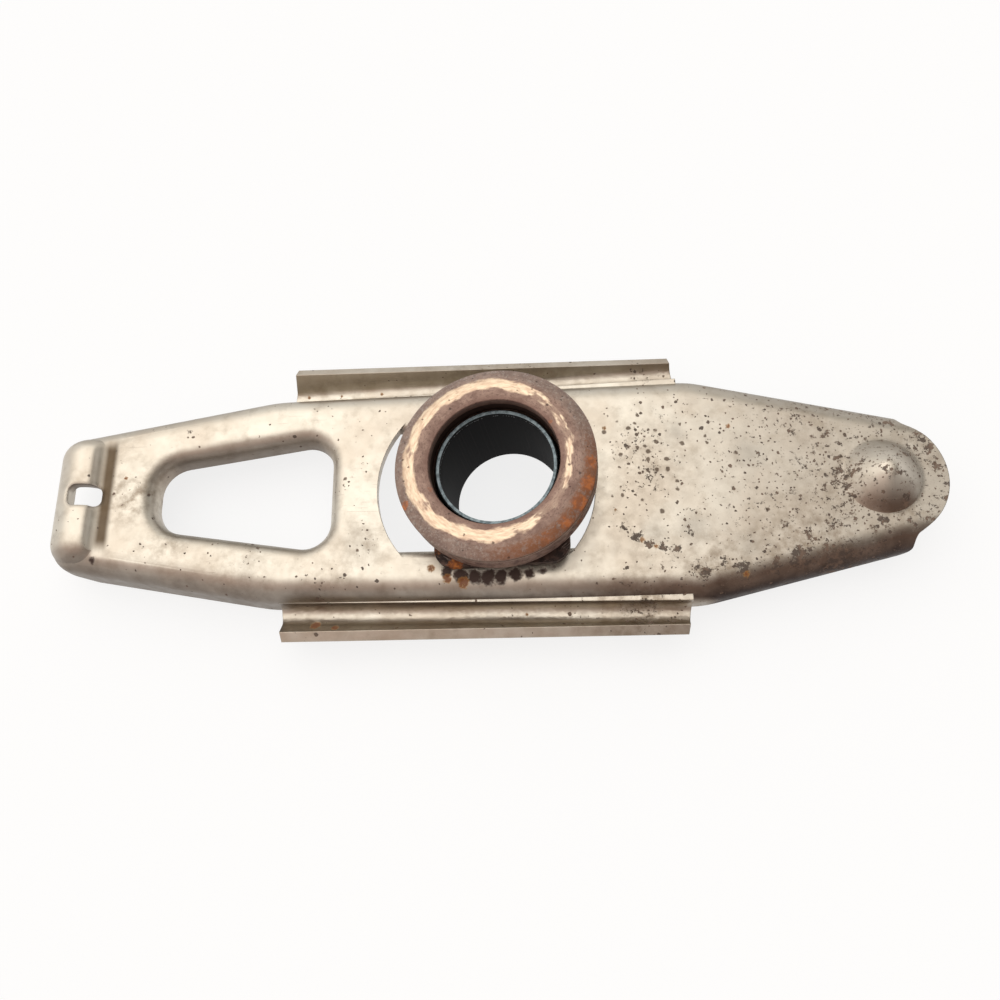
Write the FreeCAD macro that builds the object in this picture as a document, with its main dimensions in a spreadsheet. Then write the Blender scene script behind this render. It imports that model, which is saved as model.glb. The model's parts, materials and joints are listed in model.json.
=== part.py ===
"""Pressed-steel clutch fork with its release bearing, as a parametric document.

Millimetres.  +X runs along the fork towards the pushrod end, +Z is the side the bearing pushes towards.
The origin is where the guide bore's axis crosses the top face of the fork's web.
"""
import FreeCAD, Part
import os
import re
import math
import Sketcher

V = FreeCAD.Vector
doc = FreeCAD.newDocument("clutch_fork")

# ---------------------------------------------------------------- driving dimensions
SIZES = [
    # the fork's sheet and its plan, measured from the centre of its bearing opening
    ("sheet", 4.0), ("form_depth", 30.0), ("shoulder_r", 10.0),
    ("left_end_x", -169.5), ("left_end_half", 26.2), ("left_corner_r", 11.0),
    ("left_bend_x", -83.5), ("left_bend_half", 41.7), ("left_bend_r", 60.0),
    ("right_bend_x", 80.0), ("right_bend_half", 45.1), ("right_bend_r", 40.0),
    ("wall_end_past", 9.5), ("wall_end_half", 26.7), ("wall_end_r", 5.0),
    # depth of the side walls below the web's top face
    ("left_wall", 19.0), ("right_wall", 14.0), ("end_wall", 11.5), ("trough_leg", 12.0),
    ("leg_slope_in", 5.5), ("leg_run", 10.0),
    # pivot trough
    ("trough_drop", 9.0), ("trough_outer_r", 12.5), ("trough_half", 26.0), ("trough_end_r", 9.0),
    ("clip_slot_off", 2.0), ("clip_slot_long", 12.3), ("clip_slot_wide", 8.7), ("clip_slot_r", 3.2),
    ("valley_off", 9.7), ("valley_r", 6.0), ("valley_deep", 0.8),
    # window
    ("window_in", 41.0), ("window_left_half", 12.7), ("window_left_r", 11.8),
    ("window_right_x", -60.0), ("window_right_half", 23.2), ("window_right_r", 10.0),
    ("rim_depth", 10.0), ("rim_r", 7.0),
    # bearing opening and its turned-down tabs
    ("opening_r", 41.4), ("opening_clear", 1.85), ("tab_long", 60.0), ("tab_depth", 14.0),
    ("tab_corner_r", 6.0), ("tab_bend_r", 3.5),
    # lobe and pushrod socket
    ("lobe_x", 148.0), ("lobe_r", 24.2), ("notch_r", 5.0), ("lobe_past", 7.3),
    ("dome_r", 14.7), ("dome_high", 9.5), ("dome_tip_r", 6.5),
    # stiffening wings
    ("wing_left_x", -78.8), ("wing_right_x", 75.2), ("wing_trim", 2.4), ("wing_bend_r", 4.0),
    ("lip_angle", 57.0), ("lip_y", 53.3), ("lip_drop", 6.3), ("wing_reach", 60.0), ("wing_lap", 2.0),
    # how the bearing sits in the fork
    ("play_x", 6.5), ("play_y", 1.2), ("rest_lean", 6.5), ("seat_gap", 0.2),
    # carrier
    ("carrier_sheet", 3.0), ("carrier_end", 2.45), ("carrier_past", 5.0), ("carrier_corner_r", 7.0),
    ("rib_r", 5.0), ("carrier_lift", 0.16992), ("rib_inner_r", 2.0), ("rib_long", 6.0), ("rib_out", 4.6),
    # guide sleeve
    ("bore_r", 21.15), ("sleeve_wall", 1.4), ("sleeve_top", 17.0), ("sleeve_below", 22.0),
    ("collar_wide", 1.8), ("collar_thick", 1.5), ("fit_gap", 0.1), ("sleeve_chamfer", 0.4),
    ("snap_depth", 0.5), ("snap_thick", 1.1), ("snap_reach", 1.45), ("snap_open", 24.0),
    # bearing housing
    ("housing_out", 6.6), ("housing_sheet", 1.6), ("housing_bend_r", 5.0), ("housing_clear", 0.45),
    ("housing_high", 11.8),
    # rivets
    ("rivet_in", 2.1), ("rivet_r", 1.1), ("rivet_head_r", 1.7), ("rivet_head", 0.9),
    # races, balls, cage, seal
    ("ball_r", 3.175), ("ball_out", 6.1), ("ball_count", 20), ("ball_gap", 0.15),
    ("spring_high", 1.2), ("spring_thick", 0.5), ("spring_wide", 2.6), ("spring_waves", 4),
    ("race_wall", 3.1), ("race_high", 8.2), ("race_floor", 1.4), ("race_floor_in", 0.5), ("wall_gap", 0.1),
    ("ball_lift", 0.4),
    ("face_past", 0.25), ("face_clear", 1.35), ("face_low", 2.0), ("face_rise", 1.9), ("face_crown_r", 14.0),
    ("face_back", 1.4), ("face_edge_r", 0.6), ("hub_wall", 3.5), ("hub_drop", 8.6), ("face_gap", 0.7),
    ("cage_in", 2.1), ("cage_wall", 1.2), ("cage_low", 4.2), ("cage_up", 1.9), ("pocket_gap", 0.2),
    ("seal_wide", 2.9), ("seal_thick", 0.8), ("seal_lip", 0.5), ("seal_lip_wide", 0.8),
]

# sizes that follow others, so that the pieces still fit when one size is changed
FOLLOWING = [
    ("wall_end_x", "=lobe_x + wall_end_past"), ("trough_x", "=left_end_x + trough_outer_r"),
    ("clip_slot_x", "=trough_x + clip_slot_off"), ("leg_slope_x", "=left_end_x + leg_slope_in"),
    ("window_left_x", "=left_end_x + window_in"), ("sleeve_r", "=bore_r + sleeve_wall"),
    ("opening_half", "=sleeve_r + opening_clear"), ("rib_y", "=opening_half + rib_out"),
    ("carrier_long", "=2 * (sleeve_r + carrier_end)"), ("carrier_wide", "=2 * (rib_y + carrier_past)"),
    ("face_in_r", "=sleeve_r + face_clear"),
    ("ball_ring_r", "=face_in_r + ball_out"), ("housing_r", "=ball_ring_r + housing_out"),
    ("face_r", "=housing_r + face_past"), ("housing_hole_r", "=sleeve_r + collar_wide + housing_clear"),
    ("rivet_ring_r", "=housing_hole_r + rivet_in"),
    ("rib_drop", "=carrier_long / 2 * sin(rest_lean) + carrier_lift"),
]

sizes = doc.addObject("Spreadsheet::Sheet", "sizes")
for row, (alias, content) in enumerate(SIZES + FOLLOWING, 1):
    sizes.set("A%d" % row, alias)
    sizes.set("B%d" % row, str(content))
    sizes.setAlias("B%d" % row, alias)
doc.recompute()
ALIASES = {alias for alias, content in SIZES + FOLLOWING}


def bound(expression):
    """The expression with each size's alias written as a reference to the sheet."""
    return re.sub(r"[a-z_]+", lambda m: "sizes." + m[0] if m[0] in ALIASES else m[0], expression)


def value(expression):
    """The expression's present value."""
    return float(sizes.evalExpression(expression))


def bind(thing, **properties):
    """Binds properties of an object to expressions; a double underscore stands for a dot."""
    for name, expression in properties.items():
        thing.setExpression(name.replace("__", "."), bound(expression))


# ---------------------------------------------------------------- small building tools
def arc_between(start, end, radius):
    """The shorter arc between two points; with a positive radius it runs anticlockwise from the start."""
    if radius < 0:
        start, end = end, start
    chord = end - start
    reach = math.sqrt(radius * radius - chord.Length ** 2 / 4)
    centre = (start + end) / 2 + V(-chord.y, chord.x, 0).normalize() * reach
    angles = [math.atan2(place.y - centre.y, place.x - centre.x) for place in (start, end)]
    if angles[1] < angles[0]:
        angles[1] += 2 * math.pi
    return Part.ArcOfCircle(Part.Circle(centre, V(0, 0, 1), abs(radius)), angles[0], angles[1])


def circle_points(x, y, radius):
    """A full circle, as four arcs of an outline."""
    return [("%s - %s" % (x, radius), y, radius), (x, "%s - %s" % (y, radius), radius),
            ("%s + %s" % (x, radius), y, radius), (x, "%s + %s" % (y, radius), radius)]


def outline(sketch, points):
    """A closed outline.  Each point is (x, y), or (x, y, radius) where an arc runs to the next point."""
    places = [V(value(p[0]), value(p[1]), 0) for p in points]
    count = len(points)
    ends = []
    for i, point in enumerate(points):
        start, end = places[i], places[(i + 1) % count]
        radius = value(point[2]) if len(point) > 2 else 0
        curve = arc_between(start, end, radius) if radius else Part.LineSegment(start, end)
        sketch.addGeometry(curve, False)
        ends.append((2, 1) if radius < 0 else (1, 2))
    for i, point in enumerate(points):
        after = (i + 1) % count
        sketch.addConstraint(Sketcher.Constraint("Coincident", i, ends[i][1], after, ends[after][0]))
        for kind, place, size in (("DistanceX", places[i].x, point[0]), ("DistanceY", places[i].y, point[1])):
            number = sketch.addConstraint(Sketcher.Constraint(kind, i, ends[i][0], place))
            sketch.setExpression("Constraints[%d]" % number, bound(size))
        if len(point) > 2:
            number = sketch.addConstraint(Sketcher.Constraint("Radius", i, abs(value(point[2]))))
            sketch.setExpression("Constraints[%d]" % number, bound("abs(%s)" % point[2]))


def new_body(name):
    body = doc.addObject("PartDesign::Body", name)
    body.Label = name
    return body


def sketch_in(body, plane, points, lift="0"):
    """A sketch of one outline on an origin plane of the body, lifted along the plane's normal."""
    sketch = body.newObject("Sketcher::SketchObject", body.Name + "_sketch")
    face = [f for f in body.Origin.OriginFeatures if f.Role == plane + "_Plane"][0]
    sketch.AttachmentSupport = (face, [""])
    sketch.MapMode = "FlatFace"
    sketch.setExpression("AttachmentOffset.Base.z", bound(lift))
    outline(sketch, points)
    return sketch


def pad(body, plane, points, length, lift="0", midplane=False):
    feature = body.newObject("PartDesign::Pad", body.Name + "_pad")
    feature.Profile = sketch_in(body, plane, points, lift)
    feature.Midplane = midplane
    bind(feature, Length=length)
    doc.recompute()
    return feature


def turn(body, points, plane="XZ", cut=False, degrees="360"):
    """Turns an outline (radius, height) about its plane's second axis, adding or cutting."""
    kind = "Groove" if cut else "Revolution"
    feature = body.newObject("PartDesign::" + kind, body.Name + "_" + kind.lower())
    sketch = sketch_in(body, plane, points)
    feature.Profile = sketch
    feature.ReferenceAxis = (sketch, ["V_Axis"])
    bind(feature, Angle=degrees)
    doc.recompute()
    return feature


def round_edges(body, wanted, radius):
    """Fillets the edges of the body's tip that the test picks."""
    tip = body.Tip
    names = ["Edge%d" % i for i, edge in enumerate(tip.Shape.Edges, 1) if wanted(edge)]
    feature = body.newObject("PartDesign::Fillet", body.Name + "_fillet")
    feature.Base = (tip, names)
    bind(feature, Radius=radius)
    doc.recompute()
    return feature


def upright_at(x):
    """Test for a vertical edge standing at one x."""
    return lambda e: e.BoundBox.ZLength > 1 and e.BoundBox.XLength < 0.01 and e.BoundBox.YLength < 0.01 \
        and abs(e.BoundBox.XMin - x) < 0.01


def joined(kind, name, pieces):
    """A Part::MultiFuse, Part::Compound or Part::MultiCommon of several objects."""
    thing = doc.addObject(kind, name)
    if kind == "Part::Compound":
        thing.Links = pieces
    else:
        thing.Shapes = pieces
    doc.recompute()
    return thing


def cut(name, base, tool):
    thing = doc.addObject("Part::Cut", name)
    thing.Base = base
    thing.Tool = tool
    doc.recompute()
    return thing


def mirrored(thing):
    """The same shape on the other side of the fork."""
    twin = doc.addObject("Part::Mirroring", thing.Name + "_twin")
    twin.Source = thing
    twin.Normal = V(0, 1, 0)
    doc.recompute()
    return twin


def both_sides(half):
    """The points of one side's chain, then the mirrored chain back."""
    return half + [(x, "-(%s)" % y) for x, y in reversed(half)]


# ---------------------------------------------------------------- fork: the pressed channel
def channel_form(name, inset):
    """The channel's outer form, or the form of its inside when inset by the sheet's thickness."""
    taper = "(right_bend_half - wall_end_half) / (wall_end_x - right_bend_x)"
    run = "(lobe_x + lobe_r + lobe_past - wall_end_x + %s)" % inset
    half = [
        ("wall_end_x + %s" % run, "wall_end_half - %s - %s * %s" % (inset, taper, run)),
        ("right_bend_x", "right_bend_half - %s" % inset),
        ("left_bend_x", "left_bend_half - %s" % inset),
        ("left_end_x + %s" % inset, "left_end_half - %s" % inset),
    ]
    body = new_body(name)
    pad(body, "XY", both_sides(half), "form_depth", "-form_depth - %s" % inset)
    round_edges(body, upright_at(value("right_bend_x")), "right_bend_r - %s" % inset)
    round_edges(body, upright_at(value("left_bend_x")), "left_bend_r - %s" % inset)
    round_edges(body, upright_at(value("left_end_x + %s" % inset)), "left_corner_r - %s" % inset)
    top, open_end = value("-(%s)" % inset), value("wall_end_x + %s" % run)
    round_edges(body, lambda e: abs(e.BoundBox.ZMin - top) < 0.01 and e.BoundBox.ZLength < 0.01
                and e.BoundBox.XMin < open_end - 0.01, "shoulder_r - %s" % inset)
    return body


def trough_form(name, inset):
    """The rounded bar that the pivot trough is pressed over."""
    body = new_body(name)
    radius, end = "(trough_outer_r - %s)" % inset, "(trough_half - %s)" % inset
    corner = "(trough_end_r - %s)" % inset
    turn(body, [
        ("0", "-" + end),
        ("%s - %s" % (radius, corner), "-" + end, corner),
        (radius, "%s - %s" % (corner, end)),
        (radius, "%s - %s" % (end, corner), corner),
        ("%s - %s" % (radius, corner), end),
        ("0", end),
    ], plane="XY")
    bind(body, Placement__Base__x="trough_x", Placement__Base__z="-trough_drop")
    return body


def below_walls():
    """Everything below the edges of the side walls."""
    body = new_body("below_walls")
    points = [
        ("left_end_x - 10", "-2 * form_depth"),
        ("wall_end_x + 30", "-2 * form_depth"),
        ("wall_end_x + 30", "wall_end_r - end_wall"),
        ("wall_end_x", "wall_end_r - end_wall", "-wall_end_r"),
        ("wall_end_x - wall_end_r", "-end_wall"),
        ("wing_right_x", "-right_wall"),
        ("wing_right_x", WING_ROOT["right"]),
        ("wing_left_x", WING_ROOT["left"]),
        ("wing_left_x", "-left_wall"),
        ("leg_slope_x + leg_run", "-left_wall"),
        ("leg_slope_x", "-trough_leg"),
        ("left_end_x - 10", "-trough_leg"),
    ]
    pad(body, "XZ", points, "4 * wing_reach", midplane=True)
    return body


# ---------------------------------------------------------------- fork: the wings
def wing_half(x):
    """Half width of the straight middle of the fork at one x."""
    return "(left_bend_half + (right_bend_half - left_bend_half) * (%s - left_bend_x)" \
           " / (right_bend_x - left_bend_x))" % x


def lip_run(x):
    """Straight length of the lip's upper face at one x."""
    return "((lip_y - %s - wing_bend_r * (1 + sin(lip_angle))) / cos(lip_angle))" % wing_half(x)


def wing_root(x):
    """Height at which the side wall starts to bend out into the wing."""
    return "(wing_bend_r * cos(lip_angle) - lip_drop - %s * sin(lip_angle))" % lip_run(x)


WING_ROOT = {"left": wing_root("wing_left_x"), "right": wing_root("wing_right_x")}


def wing_section(name, x):
    """The wing's section: the foot of the wall, a bend outwards and a lip that turns up again."""
    sketch = doc.addObject("Sketcher::SketchObject", name)
    sketch.Placement = FreeCAD.Placement(V(0, 0, 0), FreeCAD.Rotation(V(0, 1, 0), V(0, 0, 1), V(1, 0, 0)))
    bind(sketch, Placement__Base__x=x)
    wall, root = wing_half(x), wing_root(x)
    centre = "(%s + wing_bend_r)" % wall
    outer_r = "(wing_bend_r + sheet)"
    lip_top_z = "(%s - wing_bend_r * cos(lip_angle) + %s * sin(lip_angle))" % (root, lip_run(x))
    outline(sketch, [
        ("%s - sheet" % wall, "%s + wing_lap" % root),
        ("%s - sheet" % wall, root, outer_r),
        ("%s + %s * sin(lip_angle)" % (centre, outer_r), "%s - %s * cos(lip_angle)" % (root, outer_r)),
        ("lip_y + sheet * sin(lip_angle)", "%s - sheet * cos(lip_angle)" % lip_top_z),
        ("lip_y", lip_top_z),
        ("%s + wing_bend_r * sin(lip_angle)" % centre, "%s - wing_bend_r * cos(lip_angle)" % root,
         "-wing_bend_r"),
        (wall, root),
        (wall, "%s + wing_lap" % root),
    ])
    return sketch


def wings():
    """Both wings, with their ends trimmed a little shorter at the lips."""
    loft = doc.addObject("Part::Loft", "wing")
    loft.Sections = [wing_section("wing_section_left", "wing_left_x"),
                     wing_section("wing_section_right", "wing_right_x")]
    loft.Solid = True
    loft.Ruled = True
    doc.recompute()
    both = joined("Part::MultiFuse", "wing_pair", [loft, mirrored(loft)])
    plan = new_body("wing_plan")
    half = [("wing_right_x", "right_bend_half"), ("wing_right_x - wing_trim", "wing_reach"),
            ("wing_left_x + wing_trim", "wing_reach"), ("wing_left_x", "right_bend_half")]
    pad(plan, "XY", both_sides(half), "2 * form_depth", "-form_depth")
    return joined("Part::MultiCommon", "wings", [both, plan])


# ---------------------------------------------------------------- fork: openings and their edges
def window_form(name, grow, top, bottom):
    """A block in the window's outline, grown outwards by the given amount."""
    body = new_body(name)
    half = [("window_right_x + %s" % grow, "window_right_half + %s" % grow),
            ("window_left_x - %s" % grow, "window_left_half + %s" % grow)]
    pad(body, "XY", both_sides(half), "%s - (%s)" % (top, bottom), bottom)
    round_edges(body, upright_at(value("window_right_x + %s" % grow)), "window_right_r + %s" % grow)
    round_edges(body, upright_at(value("window_left_x - %s" % grow)), "window_left_r + %s" % grow)
    return body


def opening_form():
    """The double-D hole that the guide sleeve passes through."""
    body = new_body("opening_form")
    corner = "sqrt(opening_r ^ 2 - opening_half ^ 2)"
    points = [(corner, "-opening_half", "opening_r"), (corner, "opening_half"),
              ("-" + corner, "opening_half", "opening_r"), ("-" + corner, "-opening_half")]
    pad(body, "XY", points, "3 * form_depth", "-2 * form_depth")
    return body


def tab():
    """The edge of the opening's flat, turned down."""
    body = new_body("tab")
    points = [("opening_half", "-tab_depth"), ("opening_half + sheet", "-tab_depth"),
              ("opening_half + sheet", "-sheet / 2"), ("opening_half", "-sheet / 2")]
    pad(body, "YZ", points, "tab_long", midplane=True)
    bottom = value("-tab_depth")
    round_edges(body, lambda e: e.BoundBox.ZMax < bottom + 0.01 and e.BoundBox.XLength < 0.01,
                "tab_corner_r")
    return body


def clip_slot():
    """The slot through the trough's crown."""
    body = new_body("clip_slot")
    half = [("clip_slot_x + clip_slot_long / 2", "clip_slot_wide / 2"),
            ("clip_slot_x - clip_slot_long / 2", "clip_slot_wide / 2")]
    pad(body, "XY", both_sides(half), "form_depth", "-form_depth / 2")
    round_edges(body, lambda e: e.BoundBox.ZLength > 1, "clip_slot_r")
    return body


def valley():
    """The shallow valley pressed along the foot of the trough's ridge."""
    tool = doc.addObject("Part::Cylinder", "valley")
    tool.Placement = FreeCAD.Placement(V(0, 0, 0), FreeCAD.Rotation(V(1, 0, 0), 90))
    bind(tool, Radius="valley_r", Height="2 * left_bend_half", Placement__Base__x="trough_x + valley_off",
         Placement__Base__y="left_bend_half", Placement__Base__z="valley_r - valley_deep")
    return tool


def plan_form():
    """The plan the fork is trimmed to: the walls end square, and a notch leads into the round lobe."""
    body = new_body("plan_form")
    past = "(wall_end_x + notch_r - lobe_x)"
    notch_y = "sqrt((lobe_r + notch_r) ^ 2 - %s ^ 2)" % past
    share = "lobe_r / (lobe_r + notch_r)"
    pad(body, "XY", [
        ("left_end_x - sheet", "-wing_reach"),
        ("wall_end_x", "-wing_reach"),
        ("wall_end_x", "-" + notch_y, "-notch_r"),
        ("lobe_x + %s * %s" % (past, share), "-%s * %s" % (notch_y, share), "lobe_r"),
        ("lobe_x + lobe_r", "0", "lobe_r"),
        ("lobe_x + %s * %s" % (past, share), "%s * %s" % (notch_y, share), "-notch_r"),
        ("wall_end_x", notch_y),
        ("wall_end_x", "wing_reach"),
        ("left_end_x - sheet", "wing_reach"),
    ], "3 * form_depth", "-2 * form_depth")
    return body


def dome_form(name, inset, foot):
    """The conical socket's outer or inner form, standing on the web."""
    body = new_body(name)
    rise = "(dome_high - dome_tip_r)"
    slope = "(atan(%s / dome_r) + asin(dome_tip_r / sqrt(dome_r ^ 2 + %s ^ 2)))" % (rise, rise)
    tip = "(dome_tip_r - %s)" % inset
    crease = "(dome_r - %s * tan(%s / 2))" % (inset, slope)
    points = [("0", foot), (crease, foot), (crease, "-(%s)" % inset),
              ("%s * sin(%s)" % (tip, slope), "%s + %s * cos(%s)" % (rise, tip, slope), tip),
              ("0", "%s + %s" % (rise, tip))]
    turn(body, points)
    bind(body, Placement__Base__x="lobe_x")
    return body


def make_fork():
    solid = joined("Part::MultiFuse", "fork_solid",
                   [channel_form("channel_outside", "0"), trough_form("trough_outside", "0")])
    hollow = joined("Part::MultiFuse", "fork_hollow",
                    [channel_form("channel_inside", "sheet"), trough_form("trough_inside", "sheet"),
                     below_walls()])
    channel = joined("Part::MultiCommon", "channel", [cut("long_channel", solid, hollow), plan_form()])
    one_tab = tab()
    rim = window_form("window_rim", "sheet", "-sheet / 2", "-rim_depth")
    with_edges = joined("Part::MultiFuse", "channel_with_edges", [channel, rim, one_tab, mirrored(one_tab)])
    holes = joined("Part::MultiFuse", "channel_holes",
                   [window_form("window_hole", "0", "form_depth", "-form_depth"), opening_form()])
    pierced = cut("channel_pierced", with_edges, holes)
    rolled = doc.addObject("Part::Fillet", "rolled_edges")
    rolled.Base = pierced
    rolled.Edges = top_edges(pierced.Shape, holes.Shape)
    doc.recompute()
    whole = joined("Part::MultiFuse", "fork_whole",
                   [rolled, wings(), dome_form("dome_outside", "0", "-sheet / 2")])
    last_holes = joined("Part::MultiFuse", "last_holes",
                        [dome_form("dome_inside", "sheet", "-2 * sheet"), clip_slot(), valley()])
    fork = cut("fork", whole, last_holes)
    bind(fork, Placement__Base__x="-play_x", Placement__Base__y="-play_y")
    return fork


def top_edges(shape, holes):
    """The window's and the flats' top edges, each with the radius it is rolled to."""
    picked = []
    for number, edge in enumerate(shape.Edges, 1):
        box = edge.BoundBox
        if abs(box.ZMax) > 0.01 or abs(box.ZMin) > 0.01:
            continue
        middle = edge.valueAt((edge.FirstParameter + edge.LastParameter) / 2)
        if holes.distToShape(Part.Vertex(middle))[0] > 0.01:
            continue
        if box.XMax < value("window_right_x + sheet") and box.XMin > value("window_left_x - sheet"):
            picked.append((number, value("rim_r"), value("rim_r")))
        elif box.YLength < 0.01 and abs(abs(box.YMin) - value("opening_half")) < 0.01:
            picked.append((number, value("tab_bend_r"), value("tab_bend_r")))
    return picked


# ---------------------------------------------------------------- bearing: shared heights
# Heights above the web along the bearing's axis; the rocking axis is the ribs' own centre line.
ROCK = "(rib_r + seat_gap)"
PLATE_LOW = "(rib_drop + seat_gap)"
PLATE_TOP = "(%s + carrier_sheet)" % PLATE_LOW
FLOOR_TOP = "(%s + housing_sheet)" % PLATE_TOP
BEND_TOP = "(%s + housing_bend_r)" % PLATE_TOP
RACE_LOW = "(%s + spring_high)" % FLOOR_TOP
BALL_Z = "(%s + race_high / 2 + ball_lift)" % RACE_LOW
RACE_TOP = "(%s + race_high)" % RACE_LOW
HOUSING_TOP = "(%s + housing_high)" % PLATE_TOP
FACE_LOW = "(%s + face_gap)" % HOUSING_TOP
HOUSING_IN = "(housing_r - housing_sheet)"
RACE_OUT = "(%s - wall_gap)" % HOUSING_IN
TRACK_R = "(ball_r + ball_gap)"


def seat(thing):
    """Leans a bearing piece with the carrier, about the rocking axis."""
    thing.Placement = FreeCAD.Placement(V(0, 0, 0), FreeCAD.Rotation(V(0, -1, 0), 1))
    lift = "(%s / cos(rest_lean) - %s)" % (ROCK, ROCK)
    bind(thing, Placement__Rotation__Angle="rest_lean", Placement__Base__x="-sin(rest_lean) * " + lift,
         Placement__Base__z="cos(rest_lean) * " + lift)
    return thing


def ball_track(body):
    """Cuts the ball groove of a race."""
    turn(body, circle_points("ball_ring_r", BALL_Z, TRACK_R), cut=True)


# ---------------------------------------------------------------- bearing: carrier and guide
def make_carrier_plate():
    """A plate with two ears, each with a pressed rib that rocks on the fork's web."""
    body = new_body("carrier_flat")
    half = [("carrier_long / 2", "carrier_wide / 2"), ("-carrier_long / 2", "carrier_wide / 2")]
    pad(body, "XY", both_sides(half), "carrier_sheet", PLATE_LOW)
    round_edges(body, lambda e: e.BoundBox.ZLength > 1, "carrier_corner_r")
    rib = new_body("rocking_rib")
    pad(rib, "XZ", circle_points("0", ROCK, "rib_r")[:2] + [("rib_r", ROCK)], "rib_long", midplane=True)
    groove = new_body("rib_groove")
    above = "%s + carrier_sheet" % PLATE_TOP
    points = circle_points("0", ROCK, "rib_inner_r")[:2]
    points += [("rib_inner_r", ROCK), ("rib_inner_r", above), ("-rib_inner_r", above)]
    pad(groove, "XZ", points, "rib_long", midplane=True)
    for piece in (rib, groove):
        bind(piece, Placement__Base__y="rib_y")
    hole = doc.addObject("Part::Cylinder", "sleeve_hole")
    bind(hole, Radius="sleeve_r + fit_gap", Height="form_depth")
    solid = joined("Part::MultiFuse", "carrier_solid", [body, rib, mirrored(rib)])
    cuts = joined("Part::MultiFuse", "carrier_cuts", [groove, mirrored(groove), hole, rivet_shanks()])
    return seat(cut("carrier_plate", solid, cuts))


def rivet_places():
    for quarter in range(4):
        yield quarter, 45 + 90 * quarter


def rivet_shanks():
    """The four rivet shanks, as tools for their holes and as part of the rivets."""
    shanks = []
    for number, angle in rivet_places():
        shank = doc.addObject("Part::Cylinder", "shank")
        bind(shank, Radius="rivet_r", Height="carrier_sheet + housing_sheet", Placement__Base__z=PLATE_LOW,
             Placement__Base__x="rivet_ring_r * cos(%d)" % angle,
             Placement__Base__y="rivet_ring_r * sin(%d)" % angle)
        shanks.append(shank)
    return joined("Part::Compound", "rivet_shanks", shanks)


def make_rivets():
    """Four rivets that hold the housing to the carrier plate."""
    rivets = []
    for number, angle in rivet_places():
        body = new_body("rivet")
        low, high = PLATE_LOW, FLOOR_TOP
        turn(body, [("0", "%s - rivet_head" % low), ("rivet_head_r", "%s - rivet_head / 2" % low),
                    ("rivet_head_r", low), ("rivet_r", low), ("rivet_r", high), ("rivet_head_r", high),
                    ("rivet_head_r", "%s + rivet_head / 2" % high), ("0", "%s + rivet_head" % high)])
        bind(body, Placement__Base__x="rivet_ring_r * cos(%d)" % angle,
             Placement__Base__y="rivet_ring_r * sin(%d)" % angle)
        rivets.append(body)
    return seat(joined("Part::Compound", "rivets", rivets))


def make_guide_sleeve():
    """The thin tube that slides on the guide tube around the input shaft."""
    body = new_body("guide_sleeve")
    snap_top = "(%s - seat_gap / 2)" % PLATE_LOW
    snap_low = "(%s - snap_thick - seat_gap / 2)" % snap_top
    turn(body, [
        ("bore_r", "-sleeve_below"),
        ("sleeve_r - sleeve_chamfer", "-sleeve_below"),
        ("sleeve_r", "sleeve_chamfer - sleeve_below"),
        ("sleeve_r", snap_low), ("sleeve_r - snap_depth", snap_low),
        ("sleeve_r - snap_depth", snap_top), ("sleeve_r", snap_top),
        ("sleeve_r", PLATE_TOP), ("sleeve_r + collar_wide", PLATE_TOP),
        ("sleeve_r + collar_wide", "%s + collar_thick" % PLATE_TOP),
        ("sleeve_r", "%s + collar_thick" % PLATE_TOP),
        ("sleeve_r", "sleeve_top - sleeve_chamfer"),
        ("sleeve_r - sleeve_chamfer", "sleeve_top"),
        ("bore_r", "sleeve_top"),
    ])
    return seat(body)


def make_snap_ring():
    """The open ring in the sleeve's groove, under the carrier plate."""
    body = new_body("sleeve_snap_ring")
    low = "(%s - snap_thick - seat_gap / 2)" % PLATE_LOW
    inner = "(sleeve_r - snap_depth + wall_gap)"
    turn(body, [(inner, low), ("sleeve_r + snap_reach", low),
                ("sleeve_r + snap_reach", "%s + snap_thick" % low), (inner, "%s + snap_thick" % low)],
         degrees="360 - snap_open")
    return seat(body)


# ---------------------------------------------------------------- bearing: housing and what it holds
def make_housing():
    """The pressed cup around the races."""
    body = new_body("housing_cup")
    turn(body, [
        ("housing_hole_r", PLATE_TOP),
        ("housing_r - housing_bend_r", PLATE_TOP, "housing_bend_r"),
        ("housing_r", BEND_TOP),
        ("housing_r", HOUSING_TOP),
        (HOUSING_IN, HOUSING_TOP),
        (HOUSING_IN, BEND_TOP, "housing_sheet - housing_bend_r"),
        ("housing_r - housing_bend_r", FLOOR_TOP),
        ("housing_hole_r", FLOOR_TOP),
    ])
    return seat(cut("bearing_housing", body, rivet_shanks()))


def make_spring():
    """The wavy spring washer between the housing's floor and the fixed race."""
    waves, ring = int(value("spring_waves")), value("housing_r - housing_bend_r - spring_wide / 2")
    low, high = value("%s + spring_thick / 2" % FLOOR_TOP), value("%s - spring_thick / 2" % RACE_LOW)
    clear = value("fit_gap")
    middle, swing = (low + high) / 2, (high - low) / 2 - clear
    steps = 8 * waves
    points = []
    for step in range(steps):
        turned = 2 * math.pi * step / steps
        height = middle + swing * math.cos(waves * turned)
        points.append(V(ring * math.cos(turned), ring * math.sin(turned), height))
    line = Part.BSplineCurve()
    line.interpolate(points, PeriodicFlag=True)
    wide, thick = value("spring_wide") / 2, value("spring_thick") / 2
    centre = points[0]
    corners = [centre + V(wide * a, 0, thick * b) for a, b in ((-1, -1), (1, -1), (1, 1), (-1, 1))]
    section = Part.makePolygon(corners + corners[:1])
    sweep = Part.BRepOffsetAPI.MakePipeShell(Part.Wire(line.toShape()))
    sweep.setBiNormalMode(V(0, 0, 1))
    sweep.add(section)
    sweep.build()
    sweep.makeSolid()
    thing = doc.addObject("Part::Feature", "spring_washer")
    thing.Shape = sweep.shape()
    return seat(thing)


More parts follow.
